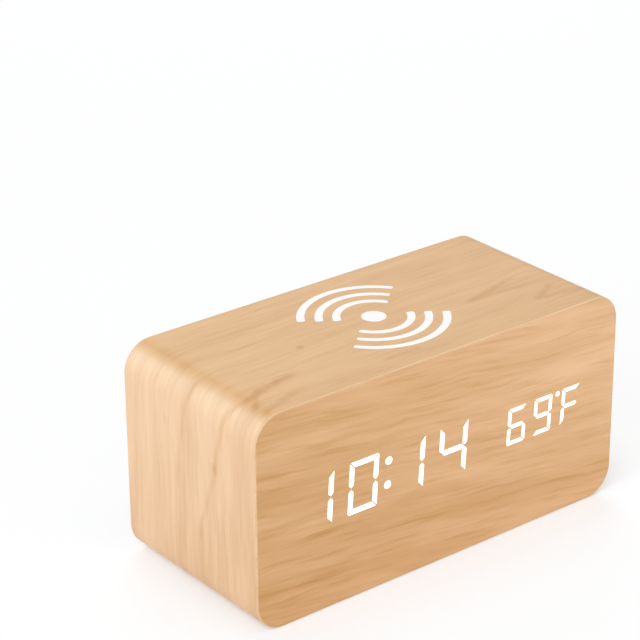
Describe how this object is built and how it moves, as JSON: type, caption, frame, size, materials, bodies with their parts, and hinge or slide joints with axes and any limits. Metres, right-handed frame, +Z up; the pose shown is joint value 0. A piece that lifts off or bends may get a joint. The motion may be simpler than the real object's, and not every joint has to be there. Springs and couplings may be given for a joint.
{
  "type": "digital alarm clock",
  "caption": "Wood-cased digital alarm clock with a lit reading behind its veneer, a wireless charging top, rear control panel and battery door.",
  "frame": {"origin": "middle of the base, on the surface that the clock stands on", "axes": "+Z up, lit face towards -Y, rear control panel towards +Y, +X to the right of someone reading the face"},
  "size_m": [0.15, 0.07, 0.074],
  "materials": {
    "wood": "satin printed veneer, light maple",
    "black_plastic": "fine matte moulded texture",
    "white_film": "matte translucent",
    "circuit_board": "satin solder mask",
    "dark_part": "satin moulded",
    "steel": "nickel plated",
    "copper": "enamelled wire",
    "ferrite": "matte sintered",
    "red_film": "printed film",
    "red_lead": "matte sleeve",
    "grey_lead": "matte sleeve"
  },
  "bodies": {
    "housing": {"wood_case": "wood", "front_board": "wood", "back_board": "wood", "front_veneer": "wood", "diffuser_film": "white_film", "segment_mask": "black_plastic", "display_board": "circuit_board", "display_screw_1": "steel", "display_screw_2": "steel", "display_screw_3": "steel", "display_screw_4": "steel", "charging_coil": "copper", "ferrite_sheet": "ferrite", "charger_board": "circuit_board", "charger_screw_1": "steel", "charger_screw_2": "steel", "charger_screw_3": "steel", "charger_screw_4": "steel", "rear_cover": "black_plastic", "contact_bridge_1": "steel", "contact_bridge_2": "steel", "contact_bridge_3": "steel", "contact_positive": "steel", "contact_negative": "steel", "contact_spring_1": "steel", "contact_spring_2": "steel", "contact_spring_3": "steel", "contact_spring_4": "steel", "control_board": "circuit_board", "board_screw_1": "steel", "board_screw_2": "steel", "board_screw_3": "steel", "board_screw_4": "steel", "set_switch": "dark_part", "up_switch": "dark_part", "down_switch": "dark_part", "reset_switch": "dark_part", "dc_jack": "dark_part", "dc_jack_pin": "steel", "buzzer": "dark_part", "microphone": "steel", "temperature_sensor": "dark_part", "round_sticker": "red_film", "display_ribbon": "grey_lead", "charger_lead": "grey_lead", "battery_lead_positive": "red_lead", "battery_lead_negative": "dark_part"},
    "door": {"battery_door": "black_plastic"},
    "set_key": {"set_button": "black_plastic", "set_plunger": "dark_part"},
    "up_key": {"up_button": "black_plastic", "up_plunger": "dark_part"},
    "down_key": {"down_button": "black_plastic", "down_plunger": "dark_part"},
    "reset_key": {"reset_plunger": "dark_part"}
  },
  "joints": [
    {"name": "door_hinge", "type": "hinge", "parent": "housing", "child": "door", "pos_m": [-0.0436, 0.034, 0.0374], "axis": [0, 0, 1], "range_deg": [0, 65]},
    {"name": "set_press", "type": "slide", "parent": "housing", "child": "set_key", "axis": [0, -1, 0], "range_m": [0, 0.0005], "stiffness_N_per_m": 1500},
    {"name": "up_press", "type": "slide", "parent": "housing", "child": "up_key", "axis": [0, -1, 0], "range_m": [0, 0.0005], "stiffness_N_per_m": 1500},
    {"name": "down_press", "type": "slide", "parent": "housing", "child": "down_key", "axis": [0, -1, 0], "range_m": [0, 0.0005], "stiffness_N_per_m": 1500},
    {"name": "reset_press", "type": "slide", "parent": "housing", "child": "reset_key", "axis": [0, -1, 0], "range_m": [0, 0.00025], "stiffness_N_per_m": 1500}
  ]
}
